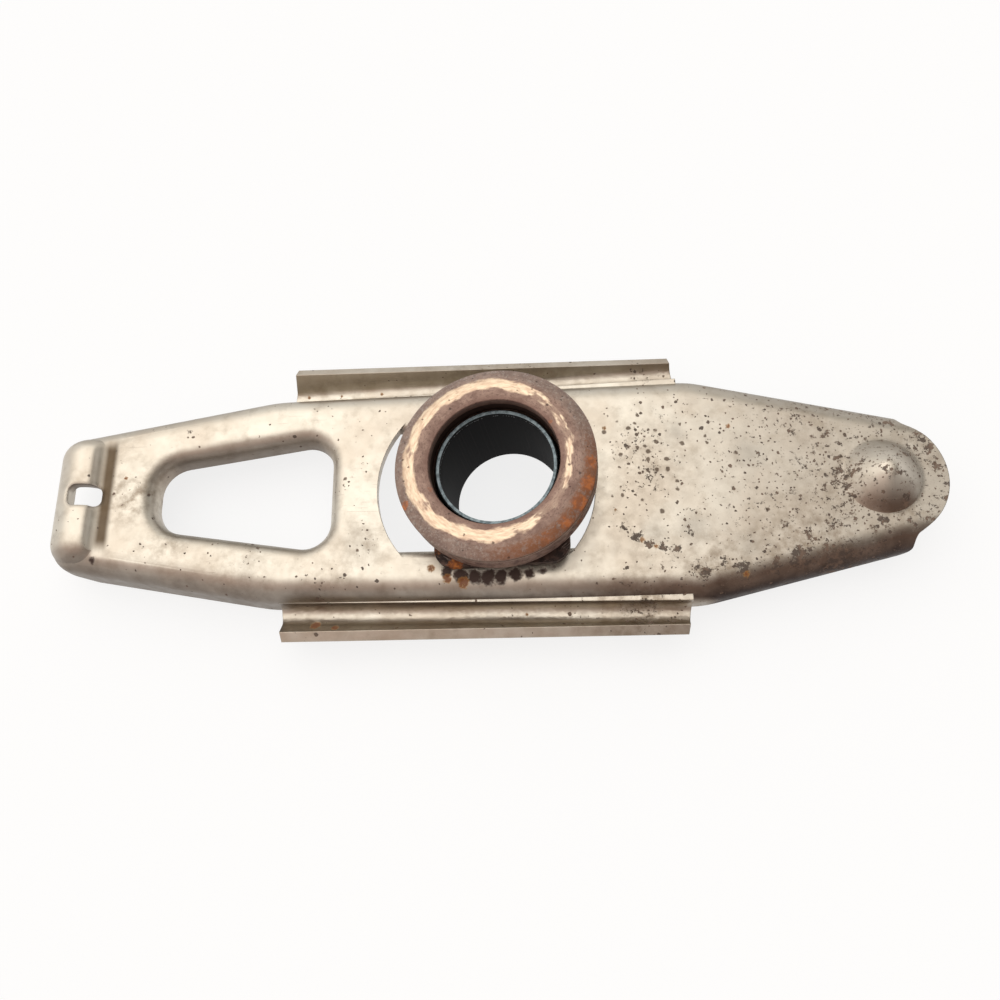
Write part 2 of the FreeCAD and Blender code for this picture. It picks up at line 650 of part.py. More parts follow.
def make_fixed_race():
    """The race pressed into the housing, under and outside the balls."""
    body = new_body("fixed_race")
    inner = "(ball_ring_r - race_floor_in)"
    wall_in = "(%s - race_wall)" % RACE_OUT
    chamfer = "(%s - %s)" % (BEND_TOP, RACE_LOW)
    turn(body, [(inner, RACE_LOW), ("%s - %s" % (RACE_OUT, chamfer), RACE_LOW), (RACE_OUT, BEND_TOP),
                (RACE_OUT, RACE_TOP), (wall_in, RACE_TOP), (wall_in, BALL_Z),
                (inner, "%s + race_floor" % RACE_LOW)])
    ball_track(body)
    return seat(body)


def make_contact_race():
    """The turning race, whose crowned face presses on the diaphragm spring's fingers."""
    body = new_body("contact_race")
    hub = "(face_in_r + hub_wall)"
    hub_low = "(%s - hub_drop)" % FACE_LOW
    turn(body, [
        ("face_in_r", hub_low), (hub, hub_low), (hub, BALL_Z), ("ball_ring_r", "%s - face_back" % FACE_LOW),
        ("ball_ring_r", FACE_LOW), ("face_r", FACE_LOW),
        ("face_r", "%s + face_low" % FACE_LOW, "face_crown_r"),
        ("face_in_r", "%s + face_low + face_rise" % FACE_LOW),
    ])
    ball_track(body)
    top = value("%s + face_low" % FACE_LOW) - 0.01
    round_edges(body, lambda e: e.BoundBox.ZLength < 0.01 and e.BoundBox.ZMin > top, "face_edge_r")
    return seat(body)


def make_balls():
    """The ball set."""
    balls = []
    for number in range(int(value("ball_count"))):
        ball = doc.addObject("Part::Sphere", "ball")
        turned = "%d * 360 / ball_count" % number
        bind(ball, Radius="ball_r", Placement__Base__x="ball_ring_r * cos(%s)" % turned,
             Placement__Base__y="ball_ring_r * sin(%s)" % turned, Placement__Base__z=BALL_Z)
        balls.append(ball)
    return seat(joined("Part::Compound", "bearing_balls", balls))


def make_cage():
    """The crown cage, with a ball pocket open at the top for each ball."""
    body = new_body("cage_ring")
    inner, outer = "(ball_ring_r - cage_in)", "(ball_ring_r - cage_in + cage_wall)"
    turn(body, [(inner, "%s - cage_low" % BALL_Z), (outer, "%s - cage_low" % BALL_Z),
                (outer, "%s + cage_up" % BALL_Z), (inner, "%s + cage_up" % BALL_Z)])
    pockets = []
    for number in range(int(value("ball_count"))):
        pocket = doc.addObject("Part::Sphere", "pocket")
        turned = "%d * 360 / ball_count" % number
        bind(pocket, Radius="ball_r + pocket_gap", Placement__Base__x="ball_ring_r * cos(%s)" % turned,
             Placement__Base__y="ball_ring_r * sin(%s)" % turned, Placement__Base__z=BALL_Z)
        pockets.append(pocket)
    return seat(cut("ball_cage", body, joined("Part::Compound", "pockets", pockets)))


def make_seal():
    """The dust seal between the housing and the turning race."""
    body = new_body("dust_seal")
    inner = "(%s - seal_wide)" % RACE_OUT
    turn(body, [(inner, RACE_TOP), (RACE_OUT, RACE_TOP), (RACE_OUT, "%s + seal_thick" % RACE_TOP),
                ("%s + seal_lip_wide" % inner, "%s + seal_thick" % RACE_TOP),
                ("%s + seal_lip_wide / 2" % inner, "%s + seal_thick + seal_lip" % RACE_TOP),
                (inner, "%s + seal_thick + seal_lip" % RACE_TOP)])
    return seat(body)


# ---------------------------------------------------------------- build, check and write
PIECES = [
    make_fork(), make_carrier_plate(), make_guide_sleeve(), make_snap_ring(), make_housing(), make_rivets(),
    make_spring(), make_fixed_race(), make_contact_race(), make_balls(), make_cage(), make_seal(),
]
doc.recompute()
for thing in doc.Objects:
    if "Invalid" in thing.State or "Error" in thing.State:
        raise RuntimeError("%s did not build: %s" % (thing.Name, thing.State))
os.makedirs("parts", exist_ok=True)
for piece in PIECES:
    if piece.Shape.isNull() or not piece.Shape.isValid():
        raise RuntimeError("%s has a bad shape" % piece.Label)
    piece.Shape.exportStep("parts/%s.step" % piece.Label)
    print("%-18s solids %2d  volume %9.1f" % (piece.Label, len(piece.Shape.Solids), piece.Shape.Volume))
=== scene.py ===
"""Clutch fork with its release bearing: the finishes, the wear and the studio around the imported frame.

Metres, in the frame of the part: +X runs along the fork to the domed end, +Z towards the diaphragm spring.
"""
import json
import math

import bmesh
import bpy
from mathutils import Matrix, Vector


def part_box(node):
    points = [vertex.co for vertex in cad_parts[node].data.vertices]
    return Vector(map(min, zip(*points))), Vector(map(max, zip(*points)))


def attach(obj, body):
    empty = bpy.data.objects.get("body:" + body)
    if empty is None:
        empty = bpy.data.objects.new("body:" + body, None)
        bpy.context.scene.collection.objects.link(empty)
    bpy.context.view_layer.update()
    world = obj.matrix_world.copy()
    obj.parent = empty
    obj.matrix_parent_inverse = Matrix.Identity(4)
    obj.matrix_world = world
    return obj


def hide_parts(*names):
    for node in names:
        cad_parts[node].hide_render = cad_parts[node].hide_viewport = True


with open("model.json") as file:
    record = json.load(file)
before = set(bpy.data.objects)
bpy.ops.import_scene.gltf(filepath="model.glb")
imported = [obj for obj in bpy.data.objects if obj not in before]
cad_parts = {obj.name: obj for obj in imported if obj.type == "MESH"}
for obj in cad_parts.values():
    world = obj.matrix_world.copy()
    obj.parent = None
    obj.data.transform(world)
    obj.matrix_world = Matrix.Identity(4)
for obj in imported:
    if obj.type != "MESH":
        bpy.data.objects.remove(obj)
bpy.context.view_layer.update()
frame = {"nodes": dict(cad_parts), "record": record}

MM = 0.001
LEAN = math.radians(6.5)            # the bearing's axis leans towards the trough end by this angle
SLEEVE_TOP = 17.0 * MM              # along the bearing's axis, above the web
BORE_R = 21.15 * MM
FLOOR_Z = -24.5 * MM                # the guide sleeve's lower rim stands on the floor


# ---------------------------------------------------------------- small tools
def paint(code):
    """An sRGB hex colour as linear values."""
    parts = [int(code[i:i + 2], 16) / 255 for i in (1, 3, 5)]
    return tuple(c / 12.92 if c <= 0.04045 else ((c + 0.055) / 1.055) ** 2.4 for c in parts) + (1.0,)


def grain(size_mm):
    """The scale that gives a pattern this size in millimetres."""
    return 1000.0 / size_mm


SOFT = {"interpolation_type": "SMOOTHSTEP"}     # a range mapped with soft ends
COLOUR = {"data_type": "RGBA"}                  # a mix of two colours


def join(tree, content, socket):
    """Sets a socket to a plain value, or links it to another socket or a node's first output."""
    if isinstance(content, bpy.types.Node):
        content = [out for out in content.outputs if out.enabled][0]
    if isinstance(content, bpy.types.NodeSocket):
        tree.links.new(content, socket)
    else:
        socket.default_value = content


def add(tree, kind, *inputs, **settings):
    """Adds one node with its settings and links. Its inputs come in order, or as one dict by name."""
    made = tree.nodes.new(kind if "Node" in kind else "ShaderNode" + kind)
    for name, content in settings.items():
        setattr(made, name, content)
    sockets = [socket for socket in made.inputs if socket.enabled]
    if inputs and isinstance(inputs[0], dict):
        named = {socket.name: socket for socket in reversed(sockets)}
        pairs = [(named[name], content) for name, content in inputs[0].items()]
    else:
        pairs = zip(sockets, inputs)
    for socket, content in pairs:
        join(tree, content, socket)
    return made


def shifted(tree, place, seed):
    """The point in another part of a pattern, so that no two patterns fall together."""
    return add(tree, "VectorMath", place, (0.7 * seed, -1.1 * seed, 1.3 * seed), operation="ADD")


def new_material(name):
    """A material with one Principled shader, its tree, and the point on the piece."""
    material = bpy.data.materials.new(name)
    material.use_nodes = True
    tree = material.node_tree
    shader = tree.nodes["Principled BSDF"]
    place = add(tree, "TexCoord").outputs["Object"]
    return material, tree, shader, place


def finish_shader(tree, shader, height=None, under=None, **sockets):
    """Gives the shader its colour, roughness and the rest, and its relief from a height in metres."""
    for name, content in sockets.items():
        join(tree, content, shader.inputs[name.replace("_", " ")])
    if height is not None:
        bump = add(tree, "Bump", {"Height": height, "Strength": 1.0, "Distance": 1.0})
        if under is not None:
            tree.links.new(under.outputs["Normal"], bump.inputs["Normal"])
        tree.links.new(bump.outputs["Normal"], shader.inputs["Normal"])


def spread(tree, place, spots):
    """A field that is strongest at the listed places (x mm, y mm, radius mm, strength) and fades out."""
    flat = add(tree, "VectorMath", place, (1.0, 1.0, 0.0), operation="MULTIPLY")
    total = 0.0
    for x, y, radius, strength in spots:
        away = add(tree, "VectorMath", flat, (x * MM, y * MM, 0.0), operation="DISTANCE")
        near = add(tree, "MapRange", away.outputs["Value"], 0.0, radius * MM, strength, 0.0, **SOFT)
        total = add(tree, "Math", near, total, operation="MAXIMUM")
    return total


def disturbed(tree, place, size_mm, shift_mm, seed=0.0):
    """The point moved about by cloudy noise, which breaks up the edge of a patch."""
    cloud = add(tree, "TexNoise", shifted(tree, place, seed), grain(size_mm), 3.0, 0.6)
    centred = add(tree, "VectorMath", cloud.outputs["Color"], (0.5, 0.5, 0.5), operation="SUBTRACT")
    reach = 4.0 * shift_mm * MM
    return add(tree, "VectorMath", centred, (reach, reach, reach), place, operation="MULTIPLY_ADD")


def specks(tree, place, size_mm, amount, soft=0.06, seed=0.0):
    """Round specks of many sizes; amount is how many of the places hold one."""
    cells = add(tree, "TexVoronoi", shifted(tree, place, seed), grain(size_mm))
    parts = add(tree, "SeparateColor", cells.outputs["Color"])
    radius = add(tree, "MapRange", parts.outputs[0], 0.0, 1.0, 0.1, 0.36, **SOFT)
    inside = add(tree, "Math", radius, cells.outputs["Distance"], operation="SUBTRACT")
    dot = add(tree, "MapRange", inside, 0.0, soft, **SOFT)
    chosen = add(tree, "Math", parts.outputs[1], amount, operation="LESS_THAN")
    return add(tree, "Math", dot, chosen, operation="MULTIPLY")


# ---------------------------------------------------------------- fork: plated pressed steel
# Clusters of pitting: x mm, y mm, radius mm, strength.
PITTING = [
    (52, 14, 19, 0.52), (55, 2, 16, 0.5), (60, 21, 12, 0.36), (66, 8, 12, 0.3), (48, -4, 9, 0.42),
    (128, -2, 13, 0.8), (133, 3, 9, 0.66), (129, -10, 9, 0.62), (148, -12, 6, 1.0), (151, 6, 6, 0.9),
    (139, -18, 5, 0.95), (156, 15, 6, 0.95), (147, 20, 6, 0.78), (163, 2, 5, 0.8), (161, 10, 5, 0.7),
    (163, -11, 5, 0.62), (140, -1, 2.2, 0.9), (144.5, -3.5, 2.4, 1.0),
    (120, -20, 7, 0.72), (112, -24, 5, 0.8), (108, -32, 10, 1.0), (121, -32, 11, 1.0), (129, -31, 9, 0.85),
    (72, -37, 8, 0.9), (87, -37, 8, 0.9), (79, -33, 7, 0.72), (99, -35, 8, 0.8), (96, -28, 10, 0.46),
    (118, 22, 12, 0.48), (130, 19, 9, 0.44), (105, 29, 7, 0.36),
    (44, -19, 6, 0.66), (69, -22, 6, 0.56), (72, -13, 5, 0.5), (50, -23, 4.5, 1.0), (54, -26, 4, 1.0),
    (59, -27, 4, 1.0), (63, -28.5, 3.5, 0.9), (60, -36, 12, 0.4), (44, -40, 12, 0.38),
    (52, -50, 15, 0.66), (60, -50, 8, 0.62), (30, -50, 12, 0.36), (58, 48, 16, 0.36), (10, 49, 20, 0.3),
    (-68, -37, 11, 0.42), (-63, -35, 7, 0.4), (-97, -30, 9, 0.36), (-90, -32, 7, 0.34),
    (-123, 24, 7, 0.42), (-137, -22, 6, 0.38), (-52, -25, 8, 0.34), (-59, 2, 7, 0.28),
]
# Soft brown staining around the worn places.
STAINS = [
    (56, 8, 26, 0.4), (128, -4, 24, 0.5), (146, -14, 20, 0.5), (112, -30, 34, 0.8), (78, -36, 26, 0.75),
    (52, -26, 20, 0.35), (156, 12, 18, 0.45), (50, -49, 28, 0.8), (0, 49, 60, 0.4), (-52, -22, 16, 0.5),
    (-70, -36, 20, 0.3), (118, 24, 22, 0.3), (-143, -2, 18, 0.8),
    (-146, 20, 10, 0.3), (-128, -22, 20, 0.45), (-100, -32, 22, 0.4), (-60, -30, 18, 0.35), (-122, 6, 10, 0.35),
]
# Grey clouded places in the plating.
CLOUDS = [
    (93, 10, 10, 0.6), (66, 19, 7, 0.5), (70, -20, 9, 0.6), (56, -20, 7, 0.5), (90, -27, 10, 0.45),
    (-54, -22, 12, 0.5), (-96, -30, 9, 0.3), (-120, -8, 12, 0.35),
]
# Soft dark spots of many sizes in the web beside the bearing.
SPOTTED = [(54, 14, 24, 1.5), (56, 0, 23, 1.4), (62, 24, 17, 1.2), (49, -8, 12, 1.1), (72, 8, 20, 0.7),
           (-52, -5, 30, 0.12), (130, 0, 40, 0.3)]
# Dark grease and soot beside the bearing, and painted shadow on the web along the bearing's near edge.
GREASE_AND_SHADOW = [
    (-21, -34.5, 4.0, 0.9), (-16, -36, 5, 1.0), (-11, -36.6, 5.5, 1.0), (-6, -36.8, 5.5, 1.0),
    (-1, -36.5, 5.2, 1.0), (4, -36, 4.8, 0.95), (9, -35.4, 4.2, 0.85), (14, -34.6, 3.4, 0.7),
    (18, -33.6, 2.6, 0.6), (0, 34, 9, 0.5), (-157, -26.5, 2.6, 0.7),
]
# Points of orange rust.
RUST = [
    (-146.6, 6.3, 1.3, 0.8), (-71.8, -51, 3.2, 1.0), (-63.8, -52.6, 2.2, 1.0), (39.4, 21.6, 1.6, 0.6),
    (86.6, 20.9, 1.6, 0.6), (-27, -33, 2.6, 0.7), (-15, -38.5, 3.6, 0.85), (-21, -37, 3.0, 0.8),
    (88, -37.5, 2.6, 0.55), (8, -48.5, 1.3, 0.5), (-80, 45.7, 1.2, 0.7), (-66.3, 45.6, 1.1, 0.6),
    (-49.6, 45.9, 1.2, 0.6), (42, -12, 1.2, 0.5), (51, -24, 2.2, 0.5), (56, -26.5, 2.0, 0.5),
]
VALLEY_X, VALLEY_HALF = -153.8, 25.0        # the hollow beside the trough's ridge, darkened with painted shade and grease, mm
DOME_X, DOME_Y, DOME_R = 141.5, -1.2, 14.7  # the pushrod dome and its foot, mm
WING_FOOT, WING_BEND = 44.6 * MM, 46.2 * MM # the wings bend out of the walls between these, either side
RIDGE_NEAR, RIDGE_FAR = -147.5 * MM, -151.5 * MM    # from here on to the trough, the creases are well rounded
SHARP, ROUNDED = 0.45 * MM, 2.6 * MM        # how round the sheet's creases look


def plated_pressing():
    """Zinc-plated deep-drawn steel sheet: satin metal with a warm cast, a faint drawn grain and dull pits."""
    material, tree, shader, place = new_material("satin_zinc_plated_steel")
    axes = add(tree, "SeparateXYZ", place)
    along = axes.outputs["X"]
    aside = add(tree, "Math", axes.outputs["Y"], operation="ABSOLUTE")

    facing = add(tree, "SeparateXYZ", add(tree, "TexCoord").outputs["Normal"])
    sideways = facing.outputs["Y"]              # -1 where the sheet faces the near side, 1 the far side

    # colour: warm plating in two tones, duller towards the domed end, with grey clouds
    tone = add(tree, "MapRange", add(tree, "TexNoise", place, grain(34), 5.0, 0.6), 0.36, 0.66, **SOFT)
    plating = add(tree, "Mix", tone, paint("#d3ccbf"), paint("#c3b8a9"), **COLOUR)
    plating = add(tree, "Mix", add(tree, "MapRange", along, 0.02, 0.12, 0.0, 0.62, **SOFT), plating,
                  paint("#9f968b"), **COLOUR)
    cloud = add(tree, "MapRange", add(tree, "TexNoise", shifted(tree, place, 3.0), grain(7), 6.0, 0.62), 0.48,
                0.72, 0.0, 0.4, **SOFT)
    plating = add(tree, "Mix", cloud, plating, paint("#978b7b"), **COLOUR)
    grey = add(tree, "Math", spread(tree, disturbed(tree, place, 7, 2.0, 4.0), CLOUDS), 0.6,
               operation="MULTIPLY")
    plating = add(tree, "Mix", grey, plating, paint("#85817a"), **COLOUR)

    # brown staining, and painted shade that darkens the sheet as it turns down to face the near side, brown and
    # then near black
    stain = spread(tree, disturbed(tree, place, 9, 2.2, 5.0), STAINS)
    stain = add(tree, "Math", stain,
                add(tree, "MapRange", add(tree, "TexNoise", shifted(tree, place, 8.0), grain(4.5), 6.0, 0.68),
                    0.36, 0.7, **SOFT), operation="MULTIPLY")
    stained_and_shaded = add(tree, "Mix", stain, plating, paint("#7a6957"), **COLOUR)
    patch = add(tree, "Math", add(tree, "TexNoise", shifted(tree, place, 2.0), grain(11), 5.0, 0.6), 0.5,
                operation="SUBTRACT")
    turned_down = add(tree, "Math", patch, 0.5, add(tree, "Math", sideways, -1.0, operation="MULTIPLY"),
                      operation="MULTIPLY_ADD")
    off_wing = add(tree, "MapRange", aside, WING_FOOT, WING_BEND, 1.0, 0.2, **SOFT)
    near_side_shade = add(tree, "Math", add(tree, "MapRange", turned_down, 0.15, 0.62, **SOFT),
                  add(tree, "MapRange", along, 0.0, 0.075, 0.5, 0.92, **SOFT), operation="MULTIPLY")
    near_side_shade = add(tree, "Math", near_side_shade, off_wing, operation="MULTIPLY")
    stained_and_shaded = add(tree, "Mix", near_side_shade, stained_and_shaded, paint("#6b5548"), **COLOUR)
    # painted shade, near black, where the sheet faces most steeply to the near side
    near_side_deep_shade = add(tree, "Math", add(tree, "MapRange", turned_down, 0.55, 0.98, **SOFT),
                  add(tree, "MapRange", along, -0.05, 0.07, 0.45, 0.94, **SOFT), operation="MULTIPLY")
    near_side_deep_shade = add(tree, "Math", near_side_deep_shade, off_wing, operation="MULTIPLY")
    stained_and_shaded = add(tree, "Mix", near_side_deep_shade, stained_and_shaded, paint("#2c201c"), **COLOUR)
    # painted shade, olive grey, on faces turned towards the far side
    far_side_shade = add(tree, "Math", add(tree, "MapRange", sideways, 0.35, 0.9, **SOFT), 0.6,
                      operation="MULTIPLY")
    stained_and_shaded = add(tree, "Mix", far_side_shade, stained_and_shaded, paint("#6d6350"), **COLOUR)
    # paler towards the dome's apex
    flat = add(tree, "VectorMath", place, (1.0, 1.0, 0.0), operation="MULTIPLY")
    from_dome = add(tree, "VectorMath", flat, (DOME_X * MM, DOME_Y * MM, 0.0),
                    operation="DISTANCE").outputs["Value"]
    paler = add(tree, "MapRange", from_dome, 13.0 * MM, 3.0 * MM, 0.0, 0.8, **SOFT)
    stained_and_shaded = add(tree, "Mix", paler, stained_and_shaded, paint("#d2c9bb"), **COLOUR)
    # browner, in patches, in the bend where the wings leave the walls
    wing = add(tree, "Math", add(tree, "MapRange", aside, WING_FOOT, WING_BEND, **SOFT),
               add(tree, "MapRange", add(tree, "TexNoise", shifted(tree, place, 6.0), grain(8), 5.0, 0.6), 0.3,
                   0.7, 0.05, 0.35, **SOFT), operation="MULTIPLY")
    stained_and_shaded = add(tree, "Mix", wing, stained_and_shaded, paint("#927e68"), **COLOUR)
    # painted shade and grease, dark brown, in the hollow beside the trough's ridge
    from_valley = add(tree, "Math", add(tree, "Math", along, VALLEY_X * MM, operation="SUBTRACT"),
                      operation="ABSOLUTE")
    valley_shade_and_grease = add(tree, "Math", add(tree, "MapRange", from_valley, 3.9 * MM, 0.9 * MM, **SOFT),
                 add(tree, "MapRange", aside, VALLEY_HALF * MM, (VALLEY_HALF - 7) * MM, 0.0, 0.92, **SOFT),
                 operation="MULTIPLY")
    stained_and_shaded = add(tree, "Mix", valley_shade_and_grease, stained_and_shaded, paint("#4a3a27"), **COLOUR)

    # pits: fine specks everywhere, soft dark spots in clusters, and eaten patches where it is worst
    broken = disturbed(tree, place, 1.6, 0.35, 1.0)
    worn = spread(tree, disturbed(tree, place, 5, 1.6, 22.0), PITTING)
    worn = add(tree, "Math", worn, add(tree, "MapRange", along, 0.03, 0.13, 0.04, 0.42, **SOFT),
               operation="MAXIMUM")
    uneven = add(tree, "MapRange", add(tree, "TexNoise", shifted(tree, place, 23.0), grain(6), 4.0, 0.6), 0.35,
                 0.62, 0.35, 1.4, **SOFT)
    many = add(tree, "Math", worn, uneven, operation="MULTIPLY")
    fine_specks = specks(tree, broken, 1.25, add(tree, "Math", many, 0.95, 0.01, operation="MULTIPLY_ADD"),
                         0.08, 2.0)
    mid_specks = specks(tree, broken, 2.3, add(tree, "Math", many, 0.8, 0.014, operation="MULTIPLY_ADD"), 0.06,
                        7.0)
    spotted = spread(tree, place, SPOTTED)
    soft_spots = specks(tree, disturbed(tree, place, 2.5, 0.4, 24.0), 3.3, spotted, 0.16, 9.0)
    eaten = add(tree, "Math", worn, 0.27,
                add(tree, "TexNoise", shifted(tree, place, 4.0), grain(2.4), 7.0, 0.74),
                operation="MULTIPLY_ADD")
    eaten = add(tree, "MapRange", eaten, 0.69, 0.725, **SOFT)
    pits = add(tree, "Math", add(tree, "Math", fine_specks, mid_specks, operation="MAXIMUM"), eaten,
               operation="MAXIMUM", use_clamp=True)
    pit_tone = add(tree, "MapRange", add(tree, "TexNoise", shifted(tree, place, 10.0), grain(3.0), 2.0, 0.5),
                   0.4, 0.62, **SOFT)
    pit_colour = add(tree, "Mix", pit_tone, paint("#43352d"), paint("#6a5445"), **COLOUR)
    coloured = add(tree, "Mix", add(tree, "Math", soft_spots, 0.85, operation="MULTIPLY"), stained_and_shaded,
                   paint("#4b3d32"), **COLOUR)
    coloured = add(tree, "Mix", add(tree, "Math", pits, 0.85, operation="MULTIPLY"), coloured, pit_colour,
                   **COLOUR)

    # hairline scratches, each a thin line in one of three directions
    scratched = 0.0
    for turn, seed in ((0.5, 11.0), (-0.9, 12.0), (1.4, 13.0)):
        turned = add(tree, "Mapping",
                     {"Vector": place, "Rotation": (0.0, 0.0, turn), "Scale": (1.0, 22.0, 1.0)})
        thin = add(tree, "MapRange", add(tree, "TexNoise", shifted(tree, turned, seed), grain(14), 1.0, 0.5),
                   0.74, 0.752, **SOFT)
        scratched = add(tree, "Math", thin, scratched, operation="MAXIMUM")
    scratched = add(tree, "Math", scratched,
                    add(tree, "MapRange",
                        add(tree, "TexNoise", shifted(tree, place, 14.0), grain(30), 2.0, 0.5), 0.5, 0.6,
                        **SOFT), operation="MULTIPLY")
    coloured = add(tree, "Mix", add(tree, "Math", scratched, 0.22, operation="MULTIPLY"), coloured,
                   paint("#93887a"), **COLOUR)

    # grease and painted shadow beside the bearing, and points of rust
    grease_and_shadow = spread(tree, disturbed(tree, place, 3.0, 0.9, 15.0), GREASE_AND_SHADOW)
    grease_and_shadow = add(tree, "Math", add(tree, "TexNoise", shifted(tree, place, 16.0), grain(1.8), 6.0, 0.7), 0.5, grease_and_shadow,
               operation="MULTIPLY_ADD")
    grease_and_shadow = add(tree, "MapRange", grease_and_shadow, 0.5, 0.95, **SOFT)
    coloured = add(tree, "Mix", grease_and_shadow, coloured, paint("#42312a"), **COLOUR)
    rust = spread(tree, disturbed(tree, place, 1.2, 0.35, 17.0), RUST)
    rust = add(tree, "Math", rust,
               add(tree, "MapRange", add(tree, "TexNoise", shifted(tree, place, 18.0), grain(0.9), 5.0, 0.7),
                   0.3, 0.6, 0.6, 1.3, **SOFT), operation="MULTIPLY")
    rust_colour = add(tree, "Mix", add(tree, "MapRange", rust, 0.35, 0.7, **SOFT), paint("#b08040"),
                      paint("#814a22"), **COLOUR)
    rust = add(tree, "MapRange", rust, 0.2, 0.6, 0.0, 0.85, **SOFT)
    coloured = add(tree, "Mix", rust, coloured, rust_colour, **COLOUR)

    # gloss and metal: pits, rust, and the grease and painted shadow are dull and not metallic
    dull = add(tree, "Math", add(tree, "Math", pits, rust, operation="MAXIMUM"), grease_and_shadow, operation="MAXIMUM",
               use_clamp=True)
    satin = add(tree, "MapRange", add(tree, "TexNoise", shifted(tree, place, 19.0), grain(5.0), 4.0, 0.6), 0.3,
                0.7, 0.33, 0.44, **SOFT)
    satin = add(tree, "Math", stain, 0.12, satin, operation="MULTIPLY_ADD")
    satin = add(tree, "Math", near_side_shade, 0.1, satin, operation="MULTIPLY_ADD")
    roughness = add(tree, "Mix", dull, satin, 0.8)
    metal = add(tree, "Math", 1.0, add(tree, "Math", dull, 0.85, operation="MULTIPLY"), operation="SUBTRACT")

    # relief: shallow waves of the pressing, the fine skin of the plating, and the pits' depth
    waves = add(tree, "Math", add(tree, "TexNoise", shifted(tree, place, 20.0), grain(16), 2.0, 0.5), 0.1 * MM,
                operation="MULTIPLY")
    skin = add(tree, "Math", add(tree, "TexNoise", shifted(tree, place, 21.0), grain(0.7), 3.0, 0.6),
               0.012 * MM, waves, operation="MULTIPLY_ADD")
    dents = add(tree, "Math", dull, -0.06 * MM, skin, operation="MULTIPLY_ADD")
    lines = add(tree, "Math", scratched, -0.015 * MM, dents, operation="MULTIPLY_ADD")
    from_foot = add(tree, "Math", add(tree, "Math", from_dome, DOME_R * MM, operation="SUBTRACT"),
                    operation="ABSOLUTE")
    round_foot = add(tree, "MapRange", from_foot, 5.0 * MM, 2.5 * MM, SHARP, ROUNDED, **SOFT)
    round_ridge = add(tree, "MapRange", along, RIDGE_NEAR, RIDGE_FAR, SHARP, ROUNDED, **SOFT)
    edges = add(tree, "Bevel", add(tree, "Math", round_foot, round_ridge, operation="MAXIMUM"), samples=6)
    finish_shader(tree, shader, lines, edges, Base_Color=coloured, Roughness=roughness, Metallic=metal)
    return material


# ---------------------------------------------------------------- bearing: patterns that run round its axis
def round_axis(tree, place):
    """The point stood upright about the bearing's axis, with its radius, height and direction."""
    upright = add(tree, "Mapping", {"Vector": place, "Rotation": (0.0, LEAN, 0.0)})
    axes = add(tree, "SeparateXYZ", upright)
    flat = add(tree, "VectorMath", upright, (1.0, 1.0, 0.0), operation="MULTIPLY")
    radius = add(tree, "VectorMath", flat, operation="LENGTH").outputs["Value"]
    way = add(tree, "VectorMath", flat, operation="NORMALIZE")
    heading = add(tree, "SeparateXYZ", way)
    return upright, radius, axes.outputs["Z"], heading


def turning_marks(tree, heading, radius, height, round_scale, cross_mm, seed=0.0, detail=3.0):
    """Marks drawn out round the axis: long along the turning, and cross_mm wide across it."""
    across = add(tree, "Math", add(tree, "Math", radius, height, operation="ADD"), grain(cross_mm),
                 operation="MULTIPLY")
    place = add(tree, "CombineXYZ", add(tree, "Math", heading.outputs["X"], round_scale, operation="MULTIPLY"),
                add(tree, "Math", heading.outputs["Y"], round_scale, operation="MULTIPLY"), across)
    return add(tree, "TexNoise", shifted(tree, place, 3.0 * seed), 1.0, detail, 0.6)


# Orange rust on the bearing's face and cup: x mm, y mm about its axis, radius mm, strength.
FACE_RUST = [
    (34.5, 6, 5, 0.5), (35, -3, 6, 0.75), (33.5, -11, 6.5, 0.9), (30, -18, 6.5, 0.95), (25, -24.5, 6, 0.8),
    (18, -30, 6, 0.6), (-32.5, -14.5, 3.2, 1.0), (20.8, 13.2, 2.4, 0.85), (-23, -9.5, 3.2, 0.6),
    (4, -34, 5, 0.4), (-8, -34.5, 5, 0.35), (35, 14, 4, 0.35),
]


